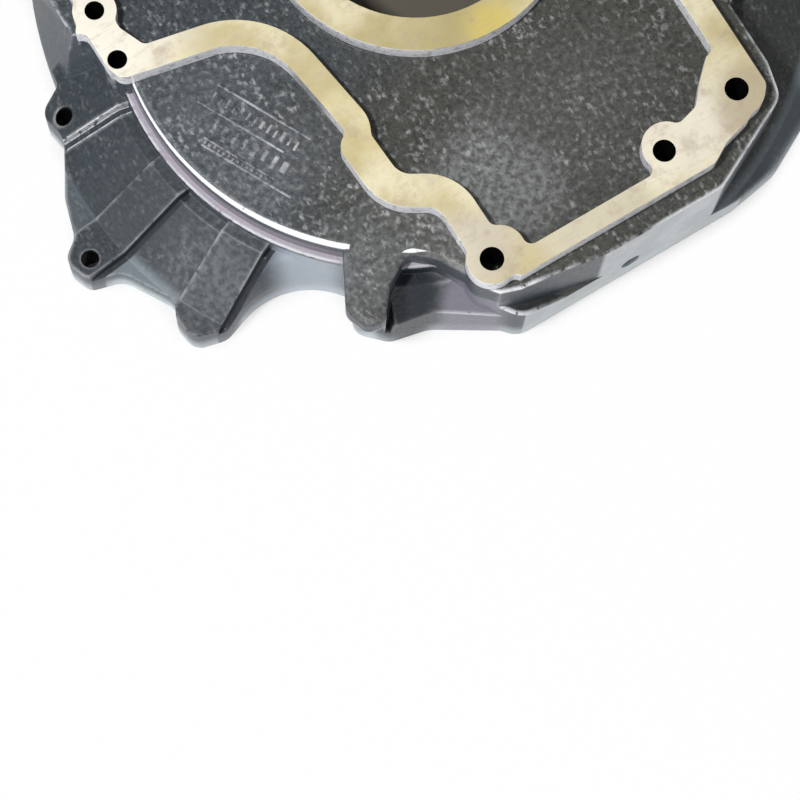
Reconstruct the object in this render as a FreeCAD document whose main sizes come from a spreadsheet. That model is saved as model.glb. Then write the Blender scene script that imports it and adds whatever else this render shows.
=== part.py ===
import FreeCAD, Part
import math
import os

# Flywheel housing: one sand casting between an engine's rear face and its gearbox.
# Frame: +Z along the crankshaft towards the engine, z = 0 on the gearbox flange that it stands on.
# +Y points to the top of the engine, so the oil-pan face looks along -Y. Lengths are millimetres.

SIZES = {
    # heights above the gearbox flange
    "flange_height": 20.0,
    "band_rise": 7.0,
    "skirt_height": 50.0,
    "curb_height": 62.0,
    "roof_height": 72.0,
    "floor_height": 78.0,
    "gasket_height": 90.0,
    # crankshaft seal bore and its boss
    "bore_radius": 70.5,
    "boss_radius": 89.5,
    # flywheel space inside the bell
    "pilot_radius": 204.8,
    "pilot_depth": 7.0,
    "cavity_radius": 200.0,
    "cavity_shoulder": 22.0,
    "cavity_roof_radius": 178.0,
    "cavity_roof_height": 64.0,
    # bell seen from outside
    "bell_radius": 222.0,
    "bell_top_radius": 205.5,
    "bell_end_lean": 0.48,
    "flange_reach": 300.0,
    "skirt_foot_radius": 240.0,
    "skirt_top_radius": 196.0,
    "bulge_skirt_foot": 208.0,
    "bulge_skirt_top": 168.0,
    "roof_radius": 187.0,
    # bulge in the bell on the left, a circle of its own
    "bulge_x": -33.5,
    "bulge_y": -33.3,
    "bulge_radius": 157.0,
    "curb_width": 4.0,
    # oil-pan face and ledges beside the gasket rim
    "pan_face_y": -228.5,
    "case_right_x": 122.5,
    "case_left_x": -203.5,
    "case_top_y": 226.0,
    # gasket rim
    "rim_width": 15.0,
    "neck_width": 19.0,
    "rail_width": 12.0,
    "rail_y": -211.0,
    "right_rail_x": 104.0,
    "top_rail_y": 212.0,
    "left_rail_x": -186.5,
    "rim_blend": 5.0,
    "bolt_boss_radius": 16.0,
    "dowel_boss_radius": 14.2,
    "left_boss_radius": 12.3,
    "bolt_hole_radius": 6.75,
    "dowel_hole_radius": 6.45,
    "screw_hole_radius": 5.5,
    "hole_depth": 32.0,
    # lugs of the gearbox flange
    "lug_hole_radius": 4.8,
    "lug_one_x": -226.5,
    "lug_two_x": -255.0,
    "lug_three_x": -218.0,
    "slope_split_x": -20.0,
    # oil-pan screw
    "pan_hole_x": 7.6,
    "pan_hole_z": 24.0,
    "pan_hole_radius": 5.1,
    "pan_hole_depth": 20.0,
    "pan_hole_chamfer": 1.4,
    # rounded lip of the bulge and the finger
    "lip_radius": 4.0,
    # raised ground beside the first lug
    "panel_rise": 3.0,
    # bay in the flange by the finger: its wall leans back by an angle and rolls over a shoulder
    "bay_x": -178.7,
    "bay_y": -186.4,
    "bay_radius": 49.1,
    "bay_wall_radius": 60.0,
    "bay_wall_angle": 25.0,
    "bay_shoulder_radius": 9.0,
}

# bolt holes in the gasket rim, x and y
PAN_CORNER = (-72.0, -200.6)
DOWEL = (41.8, -196.7)
RIGHT_CORNER = (95.4, -187.0)
LEFT_LOWER = (-190.0, 2.5)
LEFT_UPPER = (-186.6, 33.7)
TOP_HOLES = [
    (-180.0, 118.0),
    (-137.0, 177.0),
    (-60.0, 205.2),
    (20.0, 205.2),
    (83.0, 177.0),
]
# the two on the right come out in the flywheel space
SIDE_HOLES = [
    (97.2, 75.0),
    (97.2, -50.0),
]

# drilled lugs on the left of the gearbox flange, x and y
LUG_ONE = (SIZES["lug_one_x"], 7.0)
LUG_TWO = (SIZES["lug_two_x"], -71.0)
LUG_THREE_X = SIZES["lug_three_x"]

doc = FreeCAD.newDocument("FlywheelHousing")
sheet = doc.addObject("Spreadsheet::Sheet", "Sizes")
for row, (name, value) in enumerate(SIZES.items(), start=1):
    sheet.set("A%d" % row, name)
    sheet.set("B%d" % row, str(value))
    sheet.setAlias("B%d" % row, name)
doc.recompute()


def size(name):
    return float(sheet.get(name))


def point(x, y, z=0.0):
    return FreeCAD.Vector(x, y, z)


def rounded_wire(corners, closed=True):
    """Straight runs joined by tangent arcs. Each corner is x, y and the radius there, 0 if sharp."""
    count = len(corners)
    turns = {}
    for i in (range(count) if closed else range(1, count - 1)):
        x, y, radius = corners[i]
        if not radius:
            continue
        here = point(x, y)
        back = point(*corners[i - 1][:2]).sub(here).normalize()
        ahead = point(*corners[(i + 1) % count][:2]).sub(here).normalize()
        half = back.getAngle(ahead) / 2
        middle = back.add(ahead).normalize()
        centre = here + middle * (radius / math.sin(half))
        run = radius / math.tan(half)
        turns[i] = (here + back * run, centre - middle * radius, here + ahead * run)
    edges = []
    for i in range(count if closed else count - 1):
        after = (i + 1) % count
        leave = turns[i][2] if i in turns else point(*corners[i][:2])
        arrive = turns[after][0] if after in turns else point(*corners[after][:2])
        if i in turns:
            edges.append(Part.Arc(*turns[i]).toShape())
        if leave.distanceToPoint(arrive) > 1e-4:
            edges.append(Part.LineSegment(leave, arrive).toShape())
    return Part.Wire(edges)


def upward(wire):
    face = Part.Face(wire)
    if face.normalAt(0, 0).z < 0:
        face.reverse()
    return face


def plate(corners):
    return upward(rounded_wire(corners))


def ribbon(corners, width):
    return upward(rounded_wire(corners, closed=False).makeOffset2D(width / 2, join=0, openResult=False))


def disk(x, y, radius):
    return upward(Part.Wire(Part.makeCircle(radius, point(x, y))))


def joined(faces):
    whole = faces[0].multiFuse(faces[1:]).removeSplitter()
    if len(whole.Faces) != 1:
        raise RuntimeError("an outline fell apart into %d faces" % len(whole.Faces))
    return whole.Faces[0]


def blended(face, radius):
    """Fills the inner corners of an outline with arcs of this radius."""
    out = face.makeOffset2D(radius, join=0).Faces[0]
    if out.normalAt(0, 0).z < 0:
        out.reverse()
    back = out.makeOffset2D(-radius, join=0).Faces[0]
    if back.normalAt(0, 0).z < 0:
        back.reverse()
    return back


def outline(name, face):
    shape = doc.addObject("Part::Feature", name)
    shape.Shape = face
    return shape


def extrusion(name, base, start, end):
    """Stands an outline up between two heights of the sheet."""
    solid = doc.addObject("Part::Extrusion", name)
    solid.Base = base
    solid.DirMode = "Custom"
    solid.Dir = point(0, 0, 1)
    solid.Solid = True
    low = "Sizes.%s" % start if start else "0"
    solid.setExpression("LengthFwd", "Sizes.%s - %s" % (end, low))
    if start:
        solid.setExpression("Placement.Base.z", low)
    return solid


def cylinder(name, radius, low, high, x=0.0, y=0.0):
    solid = doc.addObject("Part::Cylinder", name)
    solid.setExpression("Radius", radius)
    solid.setExpression("Height", "(%s) - (%s)" % (high, low))
    solid.setExpression("Placement.Base.z", low)
    solid.Placement.Base = point(x, y, solid.Placement.Base.z)
    return solid


def cone(name, foot, top, low, high):
    solid = doc.addObject("Part::Cone", name)
    solid.setExpression("Radius1", foot)
    solid.setExpression("Radius2", top)
    solid.setExpression("Height", "(%s) - (%s)" % (high, low))
    solid.setExpression("Placement.Base.z", low)
    return solid


def fused(name, parts):
    whole = doc.addObject("Part::MultiFuse", name)
    whole.Shapes = parts
    whole.Refine = True
    return whole


def common(name, base, tool):
    both = doc.addObject("Part::Common", name)
    both.Base = base
    both.Tool = tool
    both.Refine = True
    return both


def cut(name, base, tool):
    rest = doc.addObject("Part::Cut", name)
    rest.Base = base
    rest.Tool = tool
    rest.Refine = True
    return rest


def rounded_top(name, base):
    """Rounds the edges of the top face, as a casting has them."""
    doc.recompute()
    solid = doc.addObject("Part::Fillet", name)
    solid.Base = base
    top = base.Shape.BoundBox.ZMax
    radius = size("lip_radius")
    solid.Edges = [(i, radius, radius) for i, edge in enumerate(base.Shape.Edges, start=1)
                   if edge.BoundBox.ZMin > top - 0.01]
    return solid


def mirrored(corners):
    return [(-x, y, r) for x, y, r in reversed(corners)]


# Gasket rim: a ribbon round the gear case with a boss at each hole, blended as a pattern is.
def gasket_rim():
    width = size("rim_width")
    rail = size("rail_y")
    right = size("right_rail_x")
    top = size("top_rail_y")
    left = size("left_rail_x")
    boss = size("bolt_boss_radius")
    waist = [
        (LEFT_LOWER[0] + 2.0, LEFT_LOWER[1] - 4.6, 0),
        (-108.0, -18.0, 49),
        (-95.6, -96.0, 12),
        (-102.5, -112.0, 12),
        (-100.5, -124.0, 0),
    ]
    neck = [
        (-101.5, -108.0, 0),
        (-99.5, -139.5, 22),
        (-72.5, -154.5, 22),
        (PAN_CORNER[0] + 0.5, PAN_CORNER[1], 0),
    ]
    around = [
        (right, RIGHT_CORNER[1] - 3.0, 0),
        (right, 165.0, 30),
        (right - 45.0, top, 30),
        (-110.0, top, 30),
        (left, 140.0, 40),
        (left, 40.0, 0),
    ]
    half_rail = size("rail_width") / 2
    pan_rail = [
        (PAN_CORNER[0] + 8.0, rail - half_rail, 2),
        (DOWEL[0] + 8.0, rail - half_rail, 2),
        (DOWEL[0] + 8.0, rail + half_rail, 2),
        (PAN_CORNER[0] + 8.0, rail + half_rail, 2),
    ]
    corner_web = [
        (DOWEL[0] + 4.0, rail - half_rail, 2),
        (RIGHT_CORNER[0] - 33.0, rail - half_rail, 8),
        (RIGHT_CORNER[0] - 21.0, RIGHT_CORNER[1] - 23.0, 10),
        (RIGHT_CORNER[0] - 4.0, RIGHT_CORNER[1] - 18.5, 12),
        (RIGHT_CORNER[0] + 16.0, RIGHT_CORNER[1] - 6.0, 8),
        (RIGHT_CORNER[0] + 16.0, RIGHT_CORNER[1] + 20.0, 2),
        (RIGHT_CORNER[0] - 4.0, RIGHT_CORNER[1] + 25.0, 2),
        (RIGHT_CORNER[0] - 16.0, RIGHT_CORNER[1] + 13.5, 4),
        (RIGHT_CORNER[0] - 25.0, RIGHT_CORNER[1] + 3.0, 6),
        (RIGHT_CORNER[0] - 34.0, RIGHT_CORNER[1] + 0.5, 4),
        (DOWEL[0] + 4.0, DOWEL[1] + 6.0, 2),
    ]
    left_web = [
        (LEFT_LOWER[0] - 7.0, LEFT_LOWER[1] - 4.0, 8),
        (LEFT_LOWER[0] - 1.0, LEFT_LOWER[1] - 10.5, 4),
        (LEFT_LOWER[0] + 18.0, LEFT_LOWER[1] - 2.0, 4),
        (LEFT_UPPER[0] + 7.0, LEFT_UPPER[1] - 16.0, 3),
        (LEFT_UPPER[0] + 7.0, LEFT_UPPER[1] + 10.0, 4),
        (LEFT_UPPER[0] - 5.5, LEFT_UPPER[1] + 8.0, 4),
        (size("case_left_x") + 1.0, LEFT_UPPER[1] - 6.5, 1.5),
        (LEFT_LOWER[0] - 7.4, LEFT_LOWER[1] + 21.5, 3),
    ]
    corner_boss = size("dowel_boss_radius")
    faces = [
        ribbon(waist, width),
        ribbon(neck, size("neck_width")),
        ribbon(around, width),
        plate(pan_rail),
        plate(corner_web),
        plate(left_web),
        disk(*PAN_CORNER, corner_boss),
        disk(PAN_CORNER[0] + 6.5, PAN_CORNER[1] + 2.0, corner_boss),
        disk(DOWEL[0] + 2.8, DOWEL[1] + 1.5, corner_boss),
        disk(*RIGHT_CORNER, boss),
        disk(*LEFT_UPPER, size("left_boss_radius")),
    ]
    faces += [disk(x, y, boss - 2.0) for x, y in TOP_HOLES + SIDE_HOLES]
    return blended(joined(faces), size("rim_blend"))


rim_face = gasket_rim()
rim = extrusion("GasketRim", outline("GasketRimOutline", rim_face), "", "gasket_height")

# Gear case: what lies inside the rim, and the ledges beside it.
case_face = joined([
    upward(rim_face.OuterWire),
    plate([
        (-84.5, -192.0, 6),
        (-84.0, -208.0, 10),
        (-66.0, size("pan_face_y"), 14),
        (62.0, size("pan_face_y"), 8),
        (size("case_right_x") - 5.0, -201.0, 12),
        (size("case_right_x"), -180.0, 12),
        (size("case_right_x"), 160.0, 30),
        (70.0, size("case_top_y"), 30),
        (-114.0, size("case_top_y"), 30),
        (size("case_left_x"), 148.0, 40),
        (size("case_left_x"), 38.0, 2),
        (-150.0, 0.0, 10),
        (-80.0, -150.0, 10),
    ]),
])
case_block = extrusion("GearCaseBlock", outline("GearCaseOutline", case_face), "", "floor_height")

# Hollow in the left end of the oil-pan face: the ledge runs in to the rim, and a lip curls below it.
hollow_plan = outline("HollowOutline", plate([
    (-92.0, -190.0, 2),
    (-84.0, -205.0, 10),
    (-78.0, -216.5, 6),
    (-64.6, -221.0, 12),
    (-42.8, -223.6, 20),
    (-8.0, size("pan_face_y") - 0.5, 4),
    (-8.0, -260.0, 4),
    (-120.0, -260.0, 4),
    (-120.0, -190.0, 4),
]))
hollow_floor = doc.addObject("Part::Box", "HollowFloor")
hollow_floor.Length = 160.0
hollow_floor.Width = 100.0
hollow_floor.Height = 90.0
hollow_floor.Placement = FreeCAD.Placement(
    point(-100.0, -270.0, 61.0), FreeCAD.Rotation(point(0, 1, 0), 26.0))
hollow = common("Hollow", extrusion("HollowSides", hollow_plan, "", "gasket_height"), hollow_floor)
case = cut("GearCase", case_block, hollow)
bulge = rounded_top("Bulge", cylinder("BulgeSolid", "Sizes.bulge_radius", "0", "Sizes.floor_height",
                                      size("bulge_x"), size("bulge_y")))
roof = cylinder("BellRoof", "Sizes.roof_radius", "0", "Sizes.roof_height")
curb = cylinder("Curb", "Sizes.bulge_radius + Sizes.curb_width", "0", "Sizes.curb_height",
                size("bulge_x"), size("bulge_y"))

# Bell above and beside the lugs: a steep drafted wall, whose ends lean back above the first lugs.
reach = size("flange_reach")
upper_half = [
    (-reach, 78.1, 0),
    (-180.0, -25.0, 0),
]
upper_face = plate(upper_half + mirrored(upper_half) + [(reach, reach, 0), (-reach, reach, 0)])
bell_bounds = extrusion("BellWallBounds", outline("BellWallOutline", upper_face), "", "gasket_height")
bell_bounds.Dir = point(0, size("bell_end_lean"), 1)
bell_bounds.setExpression("LengthFwd", "Sizes.gasket_height * 1.1")
bell_wall = common(
    "BellWall",
    fused("BellWallFull", [
        cylinder("BellFlange", "Sizes.bell_radius", "0", "Sizes.flange_height"),
        cone("BellDraft", "Sizes.bell_radius", "Sizes.bell_top_radius", "Sizes.flange_height",
             "Sizes.floor_height"),
    ]),
    bell_bounds,
)

# Skirt: the flange with its lugs, and a slope up to the bell.
def bay_edge(start, end):
    """Corner of two lines that touch the bay's circle at these angles, in degrees."""
    half = math.radians(start - end) / 2
    turn = math.radians(start + end) / 2
    far = size("bay_radius") / math.cos(half)
    return (size("bay_x") + far * math.cos(turn), size("bay_y") + far * math.sin(turn),
            size("bay_radius"))


left_wing = [
    (-150.0, 60.0, 0),
    (LUG_ONE[0] + 7.5, 34.0, 0),
    (LUG_ONE[0] + 6.0, 24.5, 4),
    (LUG_ONE[0] - 10.0, 17.5, 8),
    (LUG_ONE[0] - 6.0, -2.0, 14),
    (LUG_TWO[0] + 5.5, -32.0, 25),
    (LUG_TWO[0] - 1.5, -56.0, 10),
    (LUG_TWO[0] - 13.0, -65.0, 8),
    (LUG_TWO[0] - 7.5, -80.5, 8),
    (LUG_TWO[0] + 12.0, -85.5, 14),
    (LUG_THREE_X - 7.5, -115.0, 10),
    (LUG_THREE_X - 13.0, -126.0, 7),
    (LUG_THREE_X - 10.5, -141.0, 9),
    (LUG_THREE_X + 8.0, -145.5, 12),
    bay_edge(109.8, 34.4),
    (size("bay_x") + 43.0, size("bay_y") + 24.0, 5),
    (-147.0, -178.0, 9),
    (-131.0, -194.0, 12),
    (-108.0, -199.0, 20),
    (-60.0, size("pan_face_y"), 8),
    (size("slope_split_x") / 2, size("pan_face_y"), 1),
    (size("slope_split_x") / 2, 0.0, 1),
]
right_side = [
    (-size("slope_split_x"), 0.0, 1),
    (-size("slope_split_x"), size("pan_face_y"), 1),
    (80.0, size("pan_face_y"), 6),
    (112.0, -223.0, 30),
    (150.0, -203.0, 60),
    (190.0, -166.0, 30),
    (206.0, -149.0, 10),
] + mirrored(left_wing[:13])
skirt_face = joined([plate(left_wing), plate(right_side), disk(0, 0, size("bell_top_radius"))])


def slope(name, rise):
    """The flat flange and its slopes: round the bulge on the left, round the crank elsewhere."""
    low = "Sizes.flange_height" + rise
    high = "Sizes.skirt_height" + rise
    bulge = cone(name + "Left", "Sizes.bulge_skirt_foot", "Sizes.bulge_skirt_top", low, high)
    bulge.Placement.Base = point(size("bulge_x"), size("bulge_y"), bulge.Placement.Base.z)
    round_crank = cone(name + "Round", "Sizes.skirt_foot_radius", "Sizes.skirt_top_radius", low, high)
    split = size("slope_split_x")
    plan = outline(name + "Plan", plate([
        (split, -reach, 0),
        (reach, -reach, 0),
        (reach, reach, 0),
        (split, reach, 0),
    ]))
    right = common(name + "Right", round_crank, extrusion(name + "Bounds", plan, "", "gasket_height"))
    flat = cylinder(name + "Flat", "Sizes.flange_reach", "0", low)
    return fused(name + "Full", [flat, bulge, right])


skirt_bounds = extrusion("SkirtBounds", outline("SkirtOutline", skirt_face), "", "gasket_height")
skirt_block = common("SkirtBlock", slope("Skirt", ""), skirt_bounds)

# Bay between the third lug and the finger: its wall leans back and rolls over to the bell.
def bay_profile():
    foot = size("bay_radius") - 0.2
    low = size("flange_height")
    wall = size("bay_wall_radius")
    shoulder = size("bay_shoulder_radius")
    lean = math.radians(size("bay_wall_angle"))
    wall_centre = point(foot + wall, 0, low)
    meet = wall_centre + point(-math.cos(lean), 0, math.sin(lean)) * wall
    shoulder_centre = wall_centre + point(-math.cos(lean), 0, math.sin(lean)) * (wall - shoulder)
    halfway = (lean + math.pi / 2) / 2
    top = shoulder_centre + point(0, 0, shoulder)
    high = size("gasket_height")
    edges = [
        Part.Arc(point(foot, 0, low),
                 wall_centre + point(-math.cos(lean / 2), 0, math.sin(lean / 2)) * wall,
                 meet).toShape(),
        Part.Arc(meet,
                 shoulder_centre + point(-math.cos(halfway), 0, math.sin(halfway)) * shoulder,
                 top).toShape(),
    ]
    edges += Part.makePolygon([top, point(top.x, 0, high), point(0, 0, high), point(0, 0, low),
                               point(foot, 0, low)]).Edges
    return Part.Face(Part.Wire(edges))


bay = doc.addObject("Part::Revolution", "Bay")
bay.Source = outline("BayProfile", bay_profile())
bay.Axis = point(0, 0, 1)
bay.Angle = 360.0
bay.setExpression("Placement.Base.x", "Sizes.bay_x")
bay.setExpression("Placement.Base.y", "Sizes.bay_y")
skirt = cut("Skirt", skirt_block, bay)

# Raised bands that run from the bell out over each lug.
band_one = [
    (-170.0, 60.0, 0),
    (LUG_ONE[0] - 23.5, 60.0, 0),
    (LUG_ONE[0] - 23.5, -1.0, 0),
    (-170.0, -15.5, 0),
]
band_two = [
    (-170.0, -45.5, 0),
    (LUG_TWO[0] - 25.0, -55.5, 0),
    (LUG_TWO[0] - 25.0, -83.0, 0),
    (-170.0, -70.0, 0),
]
band_three = [
    (-160.0, -92.0, 0),
    (LUG_THREE_X - 6.0, -117.0, 0),
    (LUG_THREE_X - 32.0, -130.0, 0),
    (LUG_THREE_X - 8.0, -160.0, 0),
    (LUG_THREE_X + 4.0, -144.0, 0),
    (-150.0, -115.0, 0),
]
bands = [band_one, band_two, band_three]
bands += [mirrored(band) for band in bands]


def raised(name, plans, rise):
    """Ground lifted above the slope inside these outlines."""
    plan = outline(name + "Outline", Part.makeCompound([plate(corners) for corners in plans]))
    bounds = common(name + "Bounds", extrusion(name + "Plan", plan, "", "gasket_height"), skirt_bounds)
    return common(name + "s", slope(name, " + Sizes." + rise), bounds)


bands_solid = raised("Band", bands, "band_rise")
# a lower panel stands beside the first band, with a groove between
panels_solid = raised("Panel", [[
    (-170.0, -20.0, 0),
    (LUG_ONE[0] - 23.5, -5.5, 0),
    (LUG_TWO[0] - 25.0, -48.0, 0),
    (LUG_TWO[0] - 25.0, -60.0, 0),
    (-170.0, -50.0, 0),
]], "panel_rise")

# Ledge beside the gasket rim, and the finger that reaches out over the flange from it.
finger_plan = outline("FingerOutline", plate([
    (-110.0, -120.0, 6),
    (-137.5, -152.0, 6),
    (-153.5, -182.0, 8),
    (-148.5, -196.0, 6),
    (-138.5, -198.0, 5),
    (-124.0, -181.0, 12),
    (-108.0, -171.5, 6),
    (-95.0, -183.0, 14),
    (-85.5, -199.0, 6),
    (-75.0, -205.0, 6),
    (-70.0, -150.0, 6),
]))
finger = rounded_top("Finger", extrusion("FingerSolid", finger_plan, "curb_height", "floor_height"))
finger_rib = common("FingerRib", extrusion("FingerRibPlan", finger_plan, "", "curb_height"),
                    skirt_bounds)

# Crankshaft seal boss.
boss = cylinder("CrankBoss", "Sizes.boss_radius", "Sizes.cavity_roof_height", "Sizes.gasket_height")

body = fused("Casting", [rim, case, bulge, roof, curb, bell_wall, skirt, bands_solid, panels_solid,
                         finger, finger_rib, boss])

# Flywheel space, crank bore and holes.
space = fused("FlywheelSpace", [
    cylinder("Pilot", "Sizes.pilot_radius", "0", "Sizes.pilot_depth"),
    cylinder("CavityFoot", "Sizes.cavity_radius", "0", "Sizes.cavity_shoulder"),
    cone("CavityFlare", "Sizes.cavity_radius", "Sizes.cavity_roof_radius", "Sizes.cavity_shoulder",
         "Sizes.skirt_height"),
    cylinder("CavityRoof", "Sizes.cavity_roof_radius", "0", "Sizes.cavity_roof_height"),
    cylinder("CrankBore", "Sizes.bore_radius", "0", "Sizes.gasket_height"),
])


HOLE_FLOOR = "Sizes.gasket_height - Sizes.hole_depth"


def drilled(name, spot, radius, low=HOLE_FLOOR, high="Sizes.gasket_height"):
    return cylinder(name, "Sizes." + radius, low, high, *spot)


holes = [
    drilled("PanCornerHole", PAN_CORNER, "bolt_hole_radius"),
    drilled("DowelHole", DOWEL, "dowel_hole_radius"),
    drilled("RightCornerHole", RIGHT_CORNER, "bolt_hole_radius"),
    drilled("LeftLowerHole", LEFT_LOWER, "screw_hole_radius"),
    drilled("LeftUpperHole", LEFT_UPPER, "screw_hole_radius"),
]
holes += [drilled("TopHole%d" % i, spot, "bolt_hole_radius") for i, spot in enumerate(TOP_HOLES)]
holes += [drilled("SideHole%d" % i, spot, "bolt_hole_radius", "Sizes.cavity_roof_height")
          for i, spot in enumerate(SIDE_HOLES)]
for name, spot in (("LugOne", LUG_ONE), ("LugTwo", LUG_TWO)):
    for side, turn in (("Left", 1.0), ("Right", -1.0)):
        holes.append(drilled(name + side, (spot[0] * turn, spot[1]), "lug_hole_radius", "0",
                             "Sizes.floor_height"))

pan_hole = doc.addObject("Part::Cylinder", "PanHole")
pan_hole.setExpression("Radius", "Sizes.pan_hole_radius")
pan_hole.setExpression("Height", "Sizes.pan_hole_depth")
pan_chamfer = doc.addObject("Part::Cone", "PanChamfer")
pan_chamfer.setExpression("Radius1", "Sizes.pan_hole_radius + Sizes.pan_hole_chamfer")
pan_chamfer.setExpression("Radius2", "Sizes.pan_hole_radius")
pan_chamfer.setExpression("Height", "Sizes.pan_hole_chamfer")
for tool in (pan_hole, pan_chamfer):
    tool.Placement.Rotation = FreeCAD.Rotation(point(1, 0, 0), -90)
    tool.setExpression("Placement.Base.x", "Sizes.pan_hole_x")
    tool.setExpression("Placement.Base.y", "Sizes.pan_face_y")
    tool.setExpression("Placement.Base.z", "Sizes.pan_hole_z")

housing = cut("Housing", body, fused("Removed", [space, pan_hole, pan_chamfer] + holes))
housing.Label = "housing"

doc.recompute()
for thing in doc.Objects:
    if "Invalid" in thing.State or "Error" in thing.State:
        raise RuntimeError("%s did not build: %s" % (thing.Name, thing.State))
shape = housing.Shape
if shape.isNull() or not shape.isValid() or len(shape.Solids) != 1:
    raise RuntimeError("the housing isn't one valid solid: %d" % len(shape.Solids))
os.makedirs("parts", exist_ok=True)
shape.exportStep("parts/housing.step")
print("housing", round(shape.Volume / 1000.0, 1), "cm3", shape.BoundBox)
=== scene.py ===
import bpy
import math
import numpy as np
from mathutils import Matrix, Vector


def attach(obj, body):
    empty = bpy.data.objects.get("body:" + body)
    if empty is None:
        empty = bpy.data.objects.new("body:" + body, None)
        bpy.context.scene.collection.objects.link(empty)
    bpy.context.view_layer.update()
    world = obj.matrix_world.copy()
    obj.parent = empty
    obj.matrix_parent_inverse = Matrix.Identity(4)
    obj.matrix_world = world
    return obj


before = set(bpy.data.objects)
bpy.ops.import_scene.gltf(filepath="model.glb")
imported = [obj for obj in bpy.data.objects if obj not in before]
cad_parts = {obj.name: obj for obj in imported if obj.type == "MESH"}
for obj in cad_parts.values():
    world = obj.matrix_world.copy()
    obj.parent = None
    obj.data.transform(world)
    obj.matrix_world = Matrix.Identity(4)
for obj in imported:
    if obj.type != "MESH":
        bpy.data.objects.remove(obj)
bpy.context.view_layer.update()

# Camera: looks steeply down on the engine side, turned so that the oil-pan rail climbs to the right.
camera = {
    "place": (-0.37478, -0.53251, 1.66394),
    "tiltFromDown": 13.0,
    "turn": -37.034,
    "roll": 6.0,
    "lens": 135.0,
    "sensor": 36.0,
}


def makeCamera():
    data = bpy.data.cameras.new("camera")
    data.lens = camera["lens"]
    data.sensor_width = camera["sensor"]
    data.clip_end = 20.0
    body = bpy.data.objects.new("camera", data)
    turned = (Matrix.Rotation(math.radians(camera["turn"]), 4, "Z")
              @ Matrix.Rotation(math.radians(camera["tiltFromDown"]), 4, "X")
              @ Matrix.Rotation(math.radians(camera["roll"]), 4, "Z"))
    body.matrix_world = Matrix.Translation(camera["place"]) @ turned
    bpy.context.scene.collection.objects.link(body)
    bpy.context.scene.camera = body


# Shader maths: a wire is one number on a link, and an expression on wires adds its Math nodes.
class Wire:
    def __init__(self, bench, socket):
        self.bench = bench
        self.socket = socket

    def math(self, operation, *values):
        return self.bench.node("ShaderNodeMath", {"operation": operation}, dict(enumerate(values)))

    def __add__(self, other):
        return self.math("ADD", self, other)

    def __radd__(self, other):
        return self.math("ADD", other, self)

    def __sub__(self, other):
        return self.math("SUBTRACT", self, other)

    def __rsub__(self, other):
        return self.math("SUBTRACT", other, self)

    def __mul__(self, other):
        return self.math("MULTIPLY", self, other)

    def least(self, other):
        return self.math("MINIMUM", self, other)

    def most(self, other):
        return self.math("MAXIMUM", self, other)

    def size(self):
        return self.math("ABSOLUTE", self)

    # 0 below low, 1 above high, an S curve between
    def step(self, low, high):
        return self.bench.node("ShaderNodeMapRange", {"interpolation_type": "SMOOTHSTEP"},
                               {"Value": self, "From Min": low, "From Max": high})


# A bench adds nodes to one material's tree.
class Bench:
    def __init__(self, name):
        self.material = bpy.data.materials.new(name)
        self.material.use_nodes = True
        self.tree = self.material.node_tree
        self.tree.nodes.clear()

    # output says which of the node's outputs comes back as a wire, or None for the node itself
    def node(self, kind, settings=None, sockets=None, output=0):
        made = self.tree.nodes.new(kind)
        for key, value in (settings or {}).items():
            setattr(made, key, value)
        for key, value in (sockets or {}).items():
            self.plug(made.inputs[key], value)
        return made if output is None else Wire(self, made.outputs[output])

    def plug(self, socket, value):
        if isinstance(value, Wire):
            self.tree.links.new(value.socket, socket)
        else:
            socket.default_value = value

    def mixed(self, factor, first, second):
        made = self.node("ShaderNodeMix", {"data_type": "RGBA"}, None, None)
        self.plug(made.inputs["Factor"], factor)
        self.plug(made.inputs[6], first if isinstance(first, Wire) else (*first, 1.0))
        self.plug(made.inputs[7], second if isinstance(second, Wire) else (*second, 1.0))
        return Wire(self, made.outputs[2])

    # distance on the plan from a point
    def away(self, flat, centre):
        return self.node("ShaderNodeVectorMath", {"operation": "DISTANCE"}, {0: flat, 1: (*centre, 0.0)}, 1)

    def noise(self, coords, scale, detail=3.0, roughness=0.5, distortion=0.0):
        return self.node("ShaderNodeTexNoise", {"noise_dimensions": "3D"},
                         {"Vector": coords, "Scale": scale, "Detail": detail, "Roughness": roughness,
                          "Distortion": distortion})

    # uneven specks: 1 at the middle of a cell, in those cells whose own number is above share
    def specks(self, coords, scale, reach, share):
        bend = self.node("ShaderNodeTexNoise", {"noise_dimensions": "3D"},
                         {"Vector": coords, "Scale": scale * 1.4, "Detail": 2.0, "Roughness": 0.6}, 1)
        shift = 1.3 / scale
        bent = self.node("ShaderNodeVectorMath", {"operation": "MULTIPLY_ADD"},
                         {0: bend, 1: (shift, shift, shift), 2: coords})
        cells = self.node("ShaderNodeTexVoronoi", {"voronoi_dimensions": "3D"},
                          {"Vector": bent, "Scale": scale}, None)
        near = 1.0 - Wire(self, cells.outputs["Distance"]).step(reach * 0.4, reach)
        return near * Wire(self, cells.outputs["Color"]).step(share, share + 0.12)

    def stretched(self, coords, scale, turn=0.0):
        return self.node("ShaderNodeMapping", {"vector_type": "POINT"},
                         {"Vector": coords, "Scale": scale, "Rotation": (0.0, 0.0, turn)})


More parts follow.
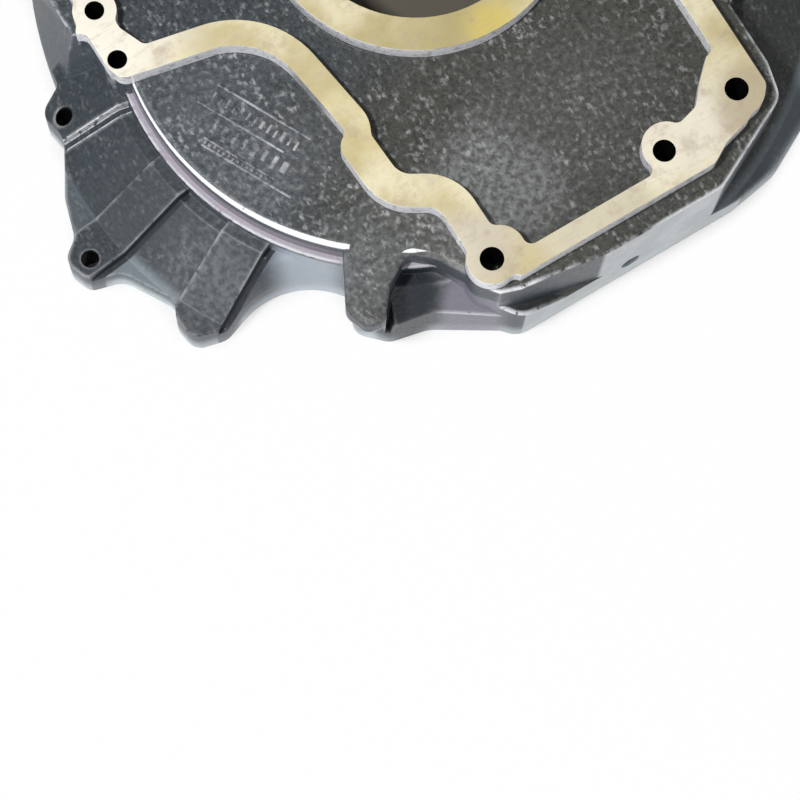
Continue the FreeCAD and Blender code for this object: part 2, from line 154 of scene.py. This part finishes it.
# Finishes of the casting. Colours are linear, lengths metres.
castFinish = {
    "warmSkin": (0.062, 0.062, 0.052),
    "coolSkin": (0.048, 0.060, 0.070),
    "dullSkin": (0.028, 0.029, 0.029),
    # pale specks: grit and painted glints
    "paleGritAndGlint": (0.34, 0.35, 0.35),
    "dustySkin": (0.29, 0.30, 0.31),
    # walls darker and bluer: painted shade
    "wallSkin": (0.030, 0.042, 0.056),
    "skirtSkin": (0.018, 0.024, 0.030),
    # painted light on the bay's wall
    "flangeSkin": (0.30, 0.36, 0.40),
    "bayPaintedLight": (0.42, 0.47, 0.54),
    # painted light from the floor on low walls, and a painted highlight at the leg's tip
    "footPaintedLight": (0.55, 0.62, 0.67),
    "curbSkin": (0.38, 0.35, 0.40),
    "bulgeSkin": (0.20, 0.18, 0.22),
    "notchSkin": (0.19, 0.18, 0.225),
    "shadeSkin": (0.010, 0.014, 0.020),
    # machined grey with painted light on the oil-pan face
    "panMachinedAndLit": (0.56, 0.60, 0.63),
    # bare metal with a painted reflection
    "bareWallAndReflection": (0.66, 0.66, 0.69),
    # edges rubbed bare, and a painted highlight
    "wornEdgeAndHighlight": (0.80, 0.81, 0.84),
    "holeShade": (0.004, 0.004, 0.005),
    "skinRoughness": 0.36,
    "shine": 0.30,
    "grainScale": 480.0,
    "fineScale": 270.0,
    "speckScale": 340.0,
    "lumpScale": 210.0,
    "grainDepth": 0.0011,
    "edgeWidth": 0.0028,
    "castEdge": 0.0018,
    "machinedEdge": 0.0004,
    "buff": (0.60, 0.515, 0.290),
    "buffPale": (0.82, 0.755, 0.53),
    "buffGold": (0.62, 0.51, 0.20),
    "buffBrown": (0.40, 0.31, 0.22),
    "cutterMark": (0.34, 0.29, 0.18),
    # painted shade on the crank bore's wall
    "boreShade": (0.15, 0.135, 0.10),
    "millGrey": (0.30, 0.29, 0.27),
    "millPale": (0.42, 0.41, 0.38),
    "machinedRoughness": 0.38,
}
# Where the casting's faces lie, so that a finish knows its place. Metres.
castShape = {
    "gasketHeight": 0.090,
    "floorHeight": 0.078,
    "curbHeight": 0.062,
    "slopeTop": 0.056,
    "flangeHeight": 0.020,
    "panFace": -0.2285,
    "boreRadius": 0.0705,
    "boreFoot": 0.060,
    "pilotDepth": 0.007,
    "pilotRadius": 0.205,
    "bulgeCentre": (-0.0335, -0.0333),
    "bulgeRadius": 0.157,
    "curbRadius": 0.161,
    "skirtEnd": -0.160,
    "towardsCase": (0.855, -0.518),
    # round holes seen from above: radius, and the centres
    "holes": [
        (0.00480, [(-0.2265, 0.0070), (-0.2550, -0.0710), (0.2265, 0.0070), (0.2550, -0.0710)]),
        (0.00550, [(-0.1900, 0.0025), (-0.1866, 0.0337)]),
        (0.00645, [(0.0418, -0.1967)]),
        (0.00675, [(-0.0720, -0.2006), (0.0954, -0.1870), (-0.1800, 0.1180), (-0.1370, 0.1770),
                   (-0.0600, 0.2052), (0.0200, 0.2052), (0.0830, 0.1770), (0.0972, 0.0750),
                   (0.0972, -0.0500)]),
    ],
}
# Marks at their places on the plan. Metres.
castMarks = {
    # pale dust on the skin: centre, reach, amount
    "dust": [
        ((-0.053, -0.164), 0.050, 1.00),
        ((0.010, -0.150), 0.070, 0.25),
        ((-0.129, -0.167), 0.048, 0.55),
        ((-0.160, -0.050), 0.055, 0.32),
        ((-0.134, -0.090), 0.040, 0.30),
        ((-0.213, -0.128), 0.045, 0.60),
        ((-0.180, -0.110), 0.045, 0.25),
    ],
    # patches low on the skirt, by the leg (painted light towards the bay, a mauve notch, the leg's painted
    # shadow, a painted highlight at its tip): centre, full up to, none from, share, colour
    "lowPatches": [
        ((-0.1505, -0.1390), 0.010, 0.030, 0.72, "bayPaintedLight"),
        ((-0.0860, -0.2080), 0.012, 0.024, 0.80, "notchSkin"),
        ((-0.1165, -0.1830), 0.012, 0.026, 0.96, "shadeSkin"),
        ((-0.1440, -0.1900), 0.004, 0.009, 0.70, "footPaintedLight"),
    ],
    # lines on the skirt: a point, the unit vector across, from and to across, and the tint: dark lines of
    # painted shade, bright lines of painted highlight
    "skirtLines": [
        ((-0.170, -0.070), (0.117, -0.993), -0.0006, 0.0034, "shadeSkin"),
        ((-0.150, -0.115), (0.413, -0.911), -0.0006, 0.0042, "shadeSkin"),
        ((-0.250, -0.001), (0.178, 0.984), -0.0008, 0.0008, "wornEdgeAndHighlight"),
        ((-0.250, -0.0055), (0.178, 0.984), -0.0008, 0.0008, "wornEdgeAndHighlight"),
    ],
    # stains on the machined faces: centre, reach, and the colour that they lean to
    "stains": [
        ((-0.188, 0.020), 0.060, (0.93, 0.90, 0.82)),
        ((0.060, -0.190), 0.045, (0.90, 0.84, 0.72)),
        ((-0.030, -0.080), 0.065, (0.46, 0.38, 0.17)),
        ((0.000, -0.088), 0.022, (0.72, 0.58, 0.16)),
        ((0.062, -0.060), 0.030, (0.80, 0.62, 0.18)),
        ((-0.077, -0.190), 0.030, (0.66, 0.60, 0.50)),
        ((-0.010, -0.203), 0.050, (0.68, 0.62, 0.50)),
        ((0.098, -0.195), 0.028, (0.50, 0.42, 0.29)),
        ((0.033, -0.201), 0.022, (0.90, 0.84, 0.68)),
    ],
    # the bars' place, less worn and highlit, and the curl at the end of the oil-pan face, with more painted
    # highlight:
    # centre, full up to, none from
    "bars": ((-0.147, -0.073), 0.040, 0.044),
    "curl": ((-0.078, -0.212), 0.022, 0.036),
}


# What the parts of the casting's material share: the place on the casting, and noises of several sizes.
class Spot:
    def __init__(self, b):
        shape = castShape
        texture = b.node("ShaderNodeTexCoord", None, None, None)
        self.coords = Wire(b, texture.outputs["Object"])
        split = b.node("ShaderNodeSeparateXYZ", None, {0: self.coords}, None)
        self.x, self.y, self.z = (Wire(b, split.outputs[i]) for i in range(3))
        self.facing = b.node("ShaderNodeSeparateXYZ", None, {0: Wire(b, texture.outputs["Normal"])}, 2)
        self.flat = b.node("ShaderNodeVectorMath", {"operation": "MULTIPLY"},
                           {0: self.coords, 1: (1.0, 1.0, 0.0)})
        self.fromBore = b.away(self.flat, (0.0, 0.0))
        self.fromBulge = b.away(self.flat, shape["bulgeCentre"])
        caseX, caseY = shape["towardsCase"]
        self.across = self.x * caseX + self.y * caseY
        self.above = self.z.step(shape["slopeTop"], shape["slopeTop"] + 0.010)
        self.low = 1.0 - self.z.step(shape["slopeTop"] - 0.0005, shape["slopeTop"] + 0.004)
        self.upright = 1.0 - self.facing.size().step(0.10, 0.62)
        self.cloud = b.noise(self.coords, 16.0, 4.0, 0.6)
        self.patches = b.noise(self.coords, 30.0, 5.0, 0.62)
        self.scuffs = b.noise(self.coords, 34.0, 4.0, 0.6).step(0.42, 0.70)
        self.fine = b.noise(self.coords, castFinish["fineScale"], 1.5, 0.6)
        self.grain = b.noise(self.coords, castFinish["grainScale"], 3.0, 0.62)
        self.specks = b.specks(b.stretched(self.coords, (1.0, 0.62, 1.0), 0.25),
                               castFinish["speckScale"], 0.50, 0.46)
        self.marks = b.noise(b.stretched(self.coords, (55.0, 950.0, 55.0), 0.5), 1.0, 3.0)


# Where a cutter has been: the gasket plane, the crank bore, and the gearbox plane with its pilot.
def cutterMasks(b, spot):
    shape = castShape
    z = spot.z
    gasket = z.step(shape["gasketHeight"] - 0.0006, shape["gasketHeight"] - 0.0003)
    gasket = gasket * spot.facing.step(0.6, 0.9)
    bore = 1.0 - spot.fromBore.step(shape["boreRadius"] + 0.0003, shape["boreRadius"] + 0.0006)
    bore = bore * z.step(shape["boreFoot"], shape["boreFoot"] + 0.0045)
    under = 1.0 - z.step(0.0003, 0.0006)
    pilot = 1.0 - z.step(shape["pilotDepth"] + 0.0001, shape["pilotDepth"] + 0.0004)
    pilot = pilot * (1.0 - spot.fromBore.step(shape["pilotRadius"], shape["pilotRadius"] + 0.0003))
    return gasket, bore, gasket.most(bore).most(under).most(pilot)


# Cast skin: cool on the skirt side, warmer towards the gear case, peppered with pale specks that are grit and
# painted glints.
def castSkin(b, spot):
    f = castFinish
    fine = spot.fine
    warmth = (spot.across + (spot.cloud - 0.5) * 0.16).step(-0.10, 0.02)
    skin = b.mixed(warmth, f["coolSkin"], f["warmSkin"])
    skin = b.mixed((1.0 - spot.grain.step(0.36, 0.56)) * 0.7, skin, f["dullSkin"])
    dusty = 0.0
    for centre, reach, amount in castMarks["dust"]:
        away = b.away(spot.flat, centre) + (spot.cloud - 0.5) * reach
        dusty = (1.0 - away.step(reach * 0.2, reach * 1.1)) * amount + dusty
    dusty = dusty.least(1.0)
    skin = b.mixed(dusty * (0.14 + fine.step(0.30, 0.66) * 0.44), skin, f["dustySkin"])
    skin = b.mixed((1.0 - spot.above) * 0.45, skin, f["skirtSkin"])
    # pale specks of grit and painted glints, more on the upper faces
    gritAndGlints = (spot.specks * (0.22 + fine) + fine.step(0.50, 0.80) * 0.6) * (0.30 + spot.scuffs * 0.75)
    gritAndGlints = gritAndGlints.least(1.0) * (0.24 + spot.above * 0.62)
    return b.mixed(gritAndGlints, skin, f["paleGritAndGlint"])


# Walls are painted darker and bluer as shade, but pale near the floor as painted light from the floor; the
# flange is paler too.
# By the leg the skirt is pale with painted light towards the bay, mauve in the notch, dark where the leg keeps
# light off and painted with a highlight at its tip. The oil-pan face is pale machined grey with painted light.
def wallSkin(b, spot, skin):
    f = castFinish
    shape = castShape
    upright = spot.upright
    # upright walls painted darker and bluer: painted shade
    skin = b.mixed(upright * (0.55 + spot.grain * 0.6), skin, f["wallSkin"])
    # low walls pale: painted light from the floor
    foot = upright * (1.0 - spot.z.step(0.002, shape["flangeHeight"]))
    skin = b.mixed(foot * (0.60 + spot.scuffs * 0.4), skin, f["footPaintedLight"])
    flange = 1.0 - spot.z.step(shape["flangeHeight"] + 0.0003, shape["flangeHeight"] + 0.005)
    flange = flange * (1.0 - upright)
    skin = b.mixed(flange * (0.20 + spot.cloud * 0.4), skin, f["flangeSkin"])
    # low patches: painted light, the leg's painted shadow and a painted highlight
    for centre, near, far, share, tint in castMarks["lowPatches"]:
        patch = (1.0 - b.away(spot.flat, centre).step(near, far)) * spot.low * share
        skin = b.mixed(patch, skin, f[tint])
    # oil-pan face: pale machined grey with painted light
    pan = upright * (1.0 - spot.y.step(shape["panFace"] + 0.0003, shape["panFace"] + 0.0008))
    return b.mixed(pan * (0.70 + spot.scuffs * 0.2), skin, f["panMachinedAndLit"])


# The bulge: a wall in shade and a smooth curb at its foot. Also gives the masks of painted highlights:
# the lip round its top edge, wider towards the leg, and the curb's own edge.
def bulgeSkin(b, spot, skin):
    f = castFinish
    shape = castShape
    out, z, fine = spot.fromBulge, spot.z, spot.fine
    bulge, curb, height = shape["bulgeRadius"], shape["curbRadius"], shape["curbHeight"]
    beside = out.step(bulge - 0.0007, bulge - 0.0001)
    onCurb = beside * (1.0 - out.step(curb + 0.0002, curb + 0.0006))
    onCurb = onCurb * (1.0 - (z - height).size().step(0.0004, 0.0010)) * spot.facing.step(0.8, 0.95)
    skin = b.mixed(onCurb * 0.9, skin, f["curbSkin"])
    wall = beside * (1.0 - out.step(bulge + 0.0002, bulge + 0.0006))
    wall = wall * (1.0 - z.step(height + 0.0060, height + 0.0095)) * z.step(height - 0.001, height)
    skin = b.mixed(wall * 0.85, skin, f["bulgeSkin"])
    # the curb's outer edge: painted highlight
    edge = out.step(curb - 0.0013, curb - 0.0008) * (1.0 - out.step(curb + 0.0004, curb + 0.0009))
    edge = edge * (1.0 - spot.above) * z.step(height - 0.0025, height - 0.0015) * fine.step(0.36, 0.52)
    # the lip round the bulge's top edge: painted highlight
    lipWidth = spot.across.step(-0.16, -0.05) * 0.0016 + 0.0018
    lipHighlight = (out - bulge + lipWidth).step(0.0, 0.0008) * (1.0 - beside) * (1.0 - spot.facing.step(0.975, 0.995))
    lipHighlight = lipHighlight * z.step(shape["floorHeight"] - 0.0065, shape["floorHeight"] - 0.0040)
    return skin, edge, lipHighlight * (fine + spot.scuffs * 0.2).step(0.20, 0.42)


# 1 in the round holes
def holeMask(b, spot):
    inHole = 0.0
    for radius, centres in castShape["holes"]:
        gap = 1.0
        for centre in centres:
            gap = b.away(spot.flat, centre).least(gap)
        inHole = (1.0 - gap.step(radius + 0.0003, radius + 0.0007)).most(inHole)
    return inHole


# Bare metal with a painted reflection on the walls of the rim and the ring, and edges rubbed bare with a
# painted highlight; dark holes.
def wornSkin(b, spot, skin, gasket, curbHighlight, lipHighlight):
    f = castFinish
    shape = castShape
    x, y, z, fine = spot.x, spot.y, spot.z, spot.fine
    inHole = holeMask(b, spot)
    centre, near, far = castMarks["bars"]
    barred = 1.0 - b.away(spot.flat, centre).step(near, far)
    barred = barred * z.step(shape["floorHeight"] + 0.0001, shape["floorHeight"] + 0.0004)
    # rim walls: bare metal with a painted reflection
    rimWall = z.step(shape["floorHeight"] + 0.0003, shape["floorHeight"] + 0.0007)
    rimWall = rimWall * (1.0 - z.step(shape["gasketHeight"] - 0.0006, shape["gasketHeight"] - 0.0003))
    rimWall = rimWall * (1.0 - spot.facing.size().step(0.30, 0.60))
    rimWall = rimWall * (0.45 + (fine + 0.1).step(0.34, 0.60) * 0.5) * (1.0 - inHole) * (1.0 - barred * 0.6)
    skin = b.mixed(rimWall, skin, f["bareWallAndReflection"])

    inside = b.node("ShaderNodeAmbientOcclusion", {"samples": 5, "inside": True, "only_local": True},
                    {"Distance": f["edgeWidth"]}, output=1)
    # edges rubbed bare, with a painted highlight where light catches them
    wear = b.noise(spot.coords, 24.0, 3.0, 0.6).step(0.40, 0.62)
    wornAndHighlit = (1.0 - inside).step(0.16, 0.40) * (fine + wear * 0.22).step(0.34, 0.60) * (0.30 + wear * 0.70)
    wornAndHighlit = wornAndHighlit * (0.35 + spot.above * 0.65) * (1.0 - barred * 0.55)
    # the curl at the end of the oil-pan face: painted highlight
    centre, near, far = castMarks["curl"]
    curl = (1.0 - b.away(spot.flat, centre).step(near, far)) * z.step(0.030, 0.034)
    curl = curl * (1.0 - inside).step(0.12, 0.28)
    wornAndHighlit = wornAndHighlit.most(curl * fine.step(0.30, 0.44) * (1.0 - gasket))
    skin = b.mixed(wornAndHighlit.most(lipHighlight).most(curbHighlight), skin, f["wornEdgeAndHighlight"])

    onSkirt = spot.low * (1.0 - x.step(shape["skirtEnd"] - 0.002, shape["skirtEnd"] + 0.002))
    onSkirt = onSkirt * (1.0 - spot.upright * 0.3)
    onSkirt = onSkirt * spot.fromBulge.step(shape["curbRadius"] + 0.0002, shape["curbRadius"] + 0.0010)
    # skirt lines: painted shade and painted highlight
    for (lineX, lineY), (acrossX, acrossY), start, end, tint in castMarks["skirtLines"]:
        side = (x - lineX) * acrossX + (y - lineY) * acrossY
        line = side.step(start, start + 0.0006) * (1.0 - side.step(end - 0.0006, end)) * onSkirt
        line = line * (0.9 if tint == "shadeSkin" else fine.step(0.38, 0.50) * 0.8)
        skin = b.mixed(line, skin, f[tint])
    return b.mixed(inHole, skin, f["holeShade"])


# Machined metal: buff film, paler and more golden in places, with faint cutter marks and brown smudges.
def machinedMetal(b, spot, gasket, bore):
    f = castFinish
    buff = b.mixed(spot.patches.step(0.36, 0.66), f["buff"], f["buffPale"])
    golden = b.noise(spot.coords, 17.0, 3.0, 0.6, 0.6).step(0.50, 0.68)
    buff = b.mixed(golden * 0.45, buff, f["buffGold"])
    for centre, reach, tint in castMarks["stains"]:
        away = b.away(spot.flat, centre) + (spot.patches - 0.5) * reach
        near = 1.0 - away.step(reach * 0.35, reach)
        buff = b.mixed(near * 0.75, buff, tint)
    buff = b.mixed(spot.marks.step(0.52, 0.70) * 0.12, buff, f["cutterMark"])
    mottle = b.noise(spot.coords, 120.0, 3.0, 0.6).step(0.52, 0.72)
    buff = b.mixed(mottle * 0.34, buff, f["buffBrown"])
    smudge = b.noise(spot.coords, 46.0, 5.0, 0.66).step(0.54, 0.70)
    buff = b.mixed(smudge * 0.38, buff, f["buffBrown"])
    grey = b.mixed(spot.patches, f["millGrey"], f["millPale"])
    # the crank bore's wall is painted dark: painted shade
    return b.mixed(gasket, b.mixed(bore, grey, f["boreShade"]), buff)


def castingMaterial():
    f = castFinish
    b = Bench("castIron")
    spot = Spot(b)
    gasket, bore, machined = cutterMasks(b, spot)
    skin = wallSkin(b, spot, castSkin(b, spot))
    skin, curbHighlight, lipHighlight = bulgeSkin(b, spot, skin)
    skin = wornSkin(b, spot, skin, gasket, curbHighlight, lipHighlight)
    colour = b.mixed(machined, skin, machinedMetal(b, spot, gasket, bore))

    # grain and lumps, weaker on the skirt, and round edges that a cutter made sharper
    lumps = b.noise(spot.coords, f["lumpScale"], 3.0, 0.55)
    height = (spot.grain * 0.6 + lumps * 0.4 + spot.specks * 0.25) * (1.0 - machined)
    height = height * (0.35 + spot.above * 0.65) + spot.marks * machined * 0.04
    edge = machined * (f["machinedEdge"] - f["castEdge"]) + f["castEdge"]
    rounded = b.node("ShaderNodeBevel", {"samples": 4}, {"Radius": edge})
    bump = b.node("ShaderNodeBump", None,
                  {"Strength": 0.5, "Distance": f["grainDepth"], "Height": height, "Normal": rounded})
    castRoughness = f["skinRoughness"] + (spot.grain - 0.5) * 0.3
    cutRoughness = f["machinedRoughness"] + (spot.patches - 0.5) * 0.2
    shader = b.node("ShaderNodeBsdfPrincipled", None, {
        "Base Color": colour,
        "Metallic": machined * 0.25,
        "Roughness": castRoughness * (1.0 - machined) + cutRoughness * machined,
        "Normal": bump,
        "Specular IOR Level": f["shine"],
    })
    b.node("ShaderNodeOutputMaterial", None, {"Surface": shader}, None)
    return b.material


# Room: pale floor at the flange plane, white behind, and soft panels.
room = {
    "floorReach": 6.0,
    "floorColour": (0.62, 0.62, 0.61),
    "floorGlow": 0.98,
    # painted shade on the floor under the housing
    "underShadeColour": (0.13, 0.12, 0.095),
    "underFrom": 0.14,
    "underTo": 0.18,
    "shadeReach": 0.19,
    "worldLight": 0.42,
}
panels = [
    {"name": "key", "place": (-0.88, -0.10, 2.10), "aim": (0.0, 0.0, 0.0), "size": (0.2, 0.2), "watts": 38.0},
    {"name": "left", "place": (-1.6, -0.3, 0.40), "aim": (-0.1, -0.1, 0.05), "size": (1.2, 0.5), "watts": 6.5},
    {"name": "front", "place": (-0.5, -1.5, 0.42), "aim": (0.0, -0.1, 0.05), "size": (1.8, 0.5), "watts": 8.0},
]


# The floor looks white where nothing stands on it; under the housing, in the bore's reach, it is painted dark
# as shade.
def makeFloor():
    half = room["floorReach"] / 2
    corners = [(-half, -half, 0), (half, -half, 0), (half, half, 0), (-half, half, 0)]
    mesh = bpy.data.meshes.new("floor")
    mesh.from_pydata(corners, [], [(0, 1, 2, 3)])
    floor = bpy.data.objects.new("floor", mesh)
    bpy.context.scene.collection.objects.link(floor)
    b = Bench("floor")
    path = b.node("ShaderNodeLightPath", None, None, None)
    seen = Wire(b, path.outputs["Is Camera Ray"]).most(Wire(b, path.outputs["Is Glossy Ray"]))
    sky = b.node("ShaderNodeAmbientOcclusion", {"samples": 4}, {"Distance": 0.02}, output=1).step(0.25, 0.45)
    place = b.node("ShaderNodeTexCoord", None, None, 3)
    away = b.away(place, (0.0, 0.0))
    sky = sky * away.step(room["shadeReach"], room["shadeReach"] + 0.01)
    # floor under the housing painted dark: painted shade
    under = b.mixed(away.step(room["underFrom"], room["underTo"]), room["underShadeColour"], room["floorColour"])
    paint = b.node("ShaderNodeBsdfDiffuse", None, {"Color": under})
    glow = b.node("ShaderNodeEmission", None, {"Color": (1.0, 1.0, 1.0, 1.0), "Strength": 1.0})
    mixed = b.node("ShaderNodeMixShader", None, {0: seen * sky * room["floorGlow"], 1: paint, 2: glow})
    b.node("ShaderNodeOutputMaterial", None, {"Surface": mixed}, None)
    mesh.materials.append(b.material)


def makeWorld():
    world = bpy.data.worlds.new("room")
    bpy.context.scene.world = world
    world.use_nodes = True
    tree = world.node_tree
    tree.nodes.clear()
    path = tree.nodes.new("ShaderNodeLightPath")
    strength = tree.nodes.new("ShaderNodeMapRange")
    strength.inputs["To Min"].default_value = room["worldLight"]
    strength.inputs["To Max"].default_value = 1.0
    back = tree.nodes.new("ShaderNodeBackground")
    out = tree.nodes.new("ShaderNodeOutputWorld")
    tree.links.new(path.outputs["Is Camera Ray"], strength.inputs["Value"])
    tree.links.new(strength.outputs[0], back.inputs["Strength"])
    tree.links.new(back.outputs[0], out.inputs["Surface"])


def makePanels():
    for panel in panels:
        data = bpy.data.lights.new(panel["name"], "AREA")
        data.shape = "RECTANGLE"
        data.size, data.size_y = panel["size"]
        data.energy = panel["watts"]
        lamp = bpy.data.objects.new(panel["name"], data)
        lamp.location = panel["place"]
        aim = Vector(panel["aim"]) - Vector(panel["place"])
        lamp.rotation_euler = aim.to_track_quat("-Z", "Y").to_euler()
        bpy.context.scene.collection.objects.link(lamp)


makeCamera()
makeWorld()
makeFloor()
makePanels()
print("camera, floor and lights are set")

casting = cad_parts["housing"]
castIron = castingMaterial()
casting.data.materials.clear()
casting.data.materials.append(castIron)
print("the casting has its finish")

# Where the casting has raised lettering: plain bars in rows between thin lines. Lengths in metres, first
# along the rows and then across them, from the top line's start.
letterBars = {
    "start": (-0.1480, -0.0345),
    "along": (0.460, -0.888),
    "across": (-0.888, -0.460),
    "ground": 0.078,
    "rise": 0.0009,
    "sink": 0.0006,
    "draft": 0.0003,
    # thin lines: start and end along, place across, half width
    "lines": [
        (0.000, 0.061, 0.0000, 0.0005),
        (-0.004, 0.052, 0.0142, 0.0005),
        (0.010, 0.056, 0.0302, 0.0005),
        (0.011, 0.069, 0.0343, 0.0005),
    ],
    # rows of bars: first and last place along, count, place across, half length, half width
    "rows": [
        (0.002, 0.056, 13, 0.0071, 0.0028, 0.0007),
        (0.012, 0.057, 8, 0.0215, 0.0040, 0.0012),
        (0.012, 0.055, 15, 0.0322, 0.0011, 0.0006),
    ],
    # unevenness: every third bar is wider, every second shorter, and a row sways
    "wider": 0.5,
    "shorter": 0.18,
    "sway": 0.0004,
}


# Each bar is a box with drafted sides: four corners at the foot, four at the top, by array sums.
def makeLetterBars():
    bars = letterBars
    middles = []
    halves = []
    for first, last, across, half in bars["lines"]:
        middles.append(((first + last) / 2, across))
        halves.append(((last - first) / 2, half))
    for first, last, count, across, halfLength, halfWidth in bars["rows"]:
        turns = np.arange(count)
        widths = halfWidth * (1.0 + bars["wider"] * (turns % 3 == 1))
        lengths = halfLength * (1.0 - bars["shorter"] * (turns % 2))
        middles += list(zip(np.linspace(first, last, count), across + bars["sway"] * np.sin(turns * 2.3)))
        halves += list(zip(widths, lengths))
    middles = np.array(middles)[:, None, :]
    halves = np.array(halves)[:, None, :]
    signs = np.array([(-1, -1), (1, -1), (1, 1), (-1, 1)])[None, :, :]
    flat = np.concatenate([middles + signs * (halves + bars["draft"]), middles + signs * halves], axis=1)
    points = np.empty(flat.shape[:2] + (3,))
    points[:, :, :2] = flat @ np.array([bars["along"], bars["across"]]) + np.array(bars["start"])
    points[:, :, 2] = np.repeat([bars["ground"] - bars["sink"], bars["ground"] + bars["rise"]], 4)
    sides = np.array([(0, 1, 2, 3), (7, 6, 5, 4), (0, 4, 5, 1), (1, 5, 6, 2), (2, 6, 7, 3), (3, 7, 4, 0)])
    faces = (sides[None, :, :] + 8 * np.arange(len(points))[:, None, None]).reshape(-1, 4)
    mesh = bpy.data.meshes.new("letter_bars")
    mesh.from_pydata(points.reshape(-1, 3).tolist(), [], faces.tolist())
    mesh.materials.append(castIron)
    piece = bpy.data.objects.new("letter_bars", mesh)
    bpy.context.scene.collection.objects.link(piece)
    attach(piece, "root")


makeLetterBars()
print("the raised bars are in place")

bpy.context.scene.view_settings.view_transform = "Standard"
